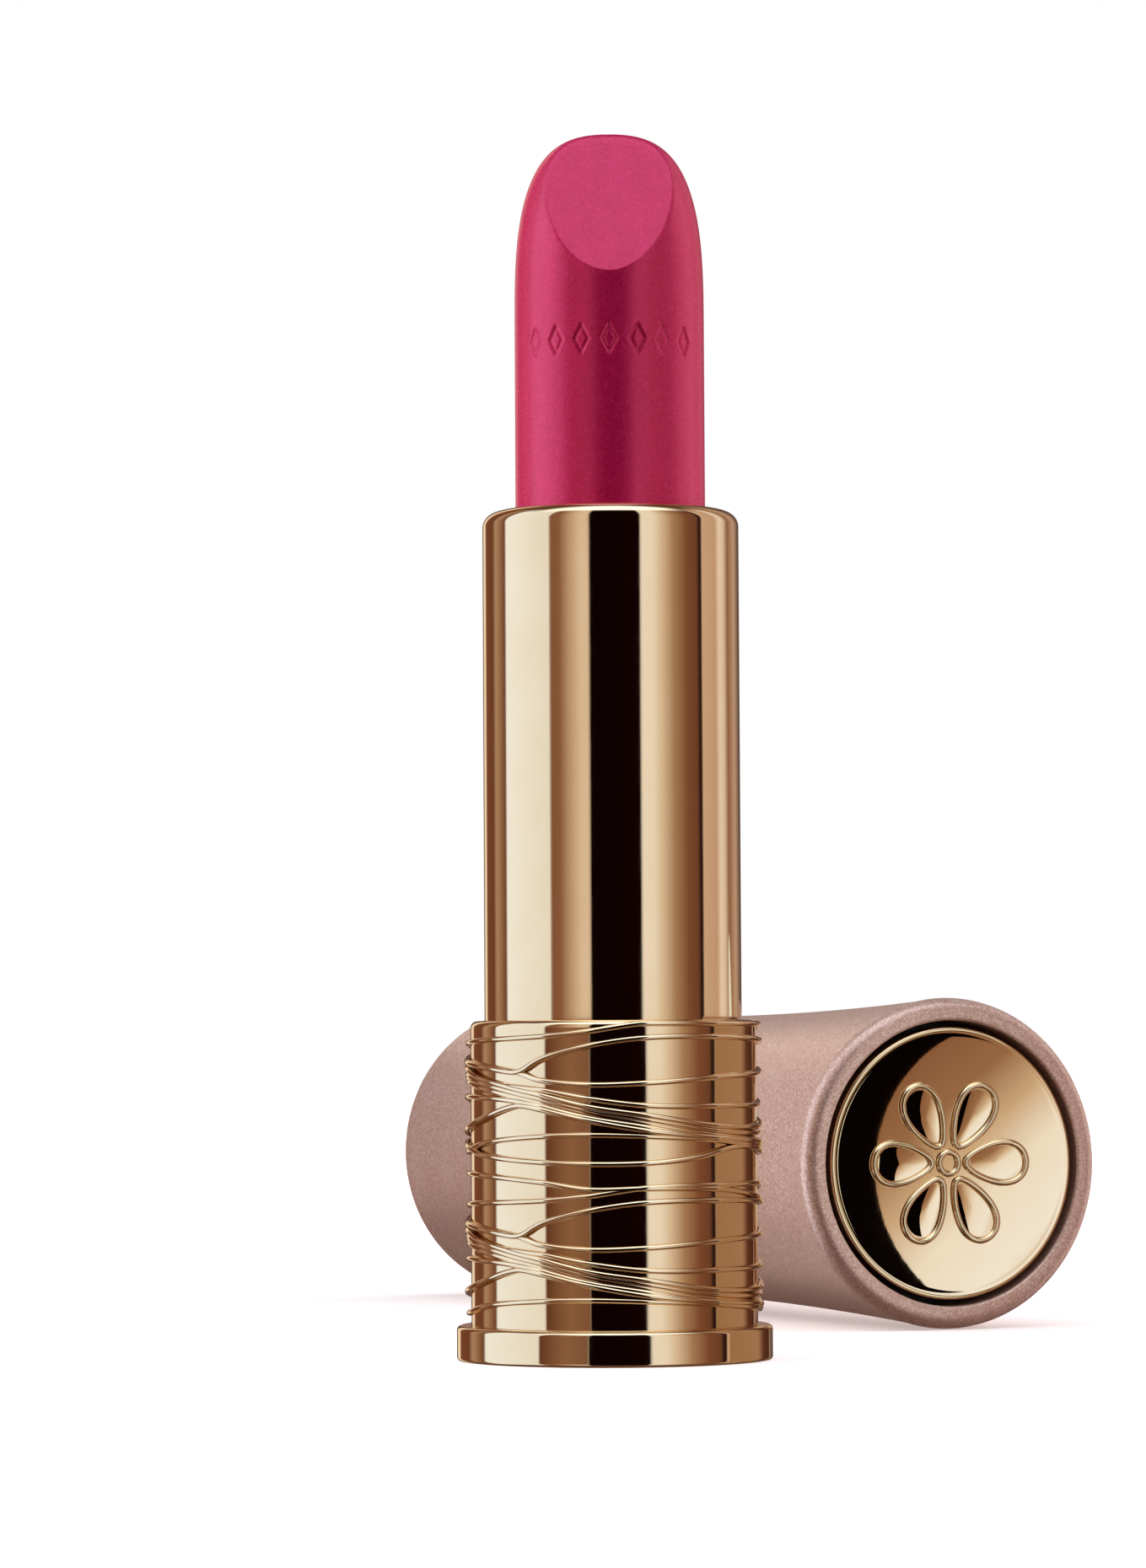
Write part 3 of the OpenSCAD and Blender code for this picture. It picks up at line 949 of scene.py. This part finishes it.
# The soft light on surfaces round the camera's direction, in degrees to its right
LIGHT = [
    (-180, (0.45, 0.40, 0.40)),
    (-140, (0.9, 0.9, 0.95)),
    (-118, (3.2, 3.5, 3.9)),
    (-96, (5.8, 7.0, 7.6)),
    (-76, (2.9, 3.1, 3.4)),
    (-55, (0.6, 0.5, 0.5)),
    (-30, (0.14, 0.10, 0.10)),
    (30, (0.10, 0.07, 0.07)),
    (50, (0.75, 0.70, 0.75)),
    (68, (1.60, 1.60, 1.75)),
    (90, (2.2, 2.3, 2.5)),
    (108, (3.3, 3.7, 4.2)),
    (130, (2.6, 2.8, 3.1)),
    (150, (1.0, 1.0, 1.0)),
]
TOP_LIGHT = (1.15, 1.6, 1.85)
LOW_LIGHT = (0.25, 0.20, 0.20)
TOP_EDGE, LOW_EDGE = (0.55, 0.9), (-0.75, -0.35)


def world():
    """White to the camera, soft light on surfaces, and the studio's bands in reflections."""
    w = bpy.data.worlds.new("studio")
    bpy.context.scene.world = w
    w.use_nodes = True
    t = Tree(w.node_tree)
    t.tree.nodes.clear()

    at = t.add("ShaderNodeTexCoord")
    turn = t.add("ShaderNodeVectorRotate", rotation_type="Z_AXIS")
    turn.inputs["Angle"].default_value = -VIEW_TURN
    t.link(at.outputs["Generated"], turn.inputs["Vector"])
    split = t.add("ShaderNodeSeparateXYZ")
    t.link(turn.outputs["Vector"], split.inputs["Vector"])
    x, y, z = split.outputs
    near = t.add("ShaderNodeMath", operation="MULTIPLY")
    near.inputs[1].default_value = -1.0
    t.link(y, near.inputs[0])
    bearing = t.add("ShaderNodeMath", operation="ARCTAN2")
    t.link(x, bearing.inputs[0])
    t.link(near.outputs[0], bearing.inputs[1])
    place = t.add("ShaderNodeMapRange")
    place.inputs["From Min"].default_value = -math.pi
    place.inputs["From Max"].default_value = math.pi
    t.link(bearing.outputs[0], place.inputs["Value"])

    def bands(stops):
        ramp = t.add("ShaderNodeValToRGB")
        set_stops(ramp, [(degrees / 360 + 0.5, colour) for degrees, colour in stops])
        t.link(place.outputs["Result"], ramp.inputs["Fac"])
        return ramp.outputs["Color"]

    def fade(along, edge):
        node = t.add("ShaderNodeMapRange", interpolation_type="SMOOTHSTEP")
        node.inputs["From Min"].default_value, node.inputs["From Max"].default_value = edge
        t.link(along, node.inputs["Value"])
        return node.outputs["Result"]

    # Above the walls of the set is the ceiling, and below them the sweep, which starts higher at the back
    studio = bands(STUDIO)
    ceiling = t.mix(fade(y, CEILING_SPLIT), CEILING, BACK_CEILING)
    front = t.mix(fade(z, FRONT_SWEEP_EDGE), SWEEP, studio)
    back = t.mix(fade(z, BACK_SWEEP_EDGE), SWEEP, studio)
    glossy = t.mix(fade(y, SWEEP_SPLIT), front, back)
    glossy = t.mix(fade(z, CEILING_EDGE), glossy, ceiling)
    soft = t.mix(fade(z, LOW_EDGE), LOW_LIGHT, bands(LIGHT))
    soft = t.mix(fade(z, TOP_EDGE), soft, TOP_LIGHT)

    def light(colour):
        node = t.add("ShaderNodeBackground")
        t.link(colour, node.inputs["Color"])
        return node.outputs[0]

    def choose(ray, otherwise, chosen):
        node = t.add("ShaderNodeMixShader")
        t.link(path.outputs[ray], node.inputs["Fac"])
        t.link(otherwise, node.inputs[1])
        t.link(chosen, node.inputs[2])
        return node.outputs[0]

    path = t.add("ShaderNodeLightPath")
    white = t.add("ShaderNodeBackground", Color=(1, 1, 1, 1), Strength=1.0)
    unseen = choose("Is Glossy Ray", light(soft), light(glossy))
    out = t.add("ShaderNodeOutputWorld")
    t.link(choose("Is Camera Ray", unseen, white.outputs[0]), out.inputs["Surface"])


def camera():
    """A long lens a third of a metre away, just above the floor, looking slightly up."""
    distance, eye = 341 * MM, 19 * MM
    pan, tilt, roll = math.radians(0.43), math.radians(2.93), math.radians(0.3)
    data = bpy.data.cameras.new("camera")
    data.sensor_width = 36.0
    data.lens = 123.2
    cam = bpy.data.objects.new("camera", data)
    bpy.context.scene.collection.objects.link(cam)
    cam.location = (distance * math.sin(VIEW_TURN), -distance * math.cos(VIEW_TURN), eye)
    cam.rotation_euler = (math.pi / 2 + tilt, roll, VIEW_TURN + pan)
    data.clip_start = 0.01
    data.clip_end = 20
    bpy.context.scene.camera = cam


def main():
    dress_cad_nodes()
    gold_foot()
    gold_collar()
    collar_wires()
    gold_tube()
    bullet()
    cap_body()
    button_face()
    emblem()
    floor()
    side_flag()
    button_cards()
    base_cards()
    world()
    camera()
    view = bpy.context.scene.view_settings
    view.view_transform = "Standard"
    view.look = "None"


main()
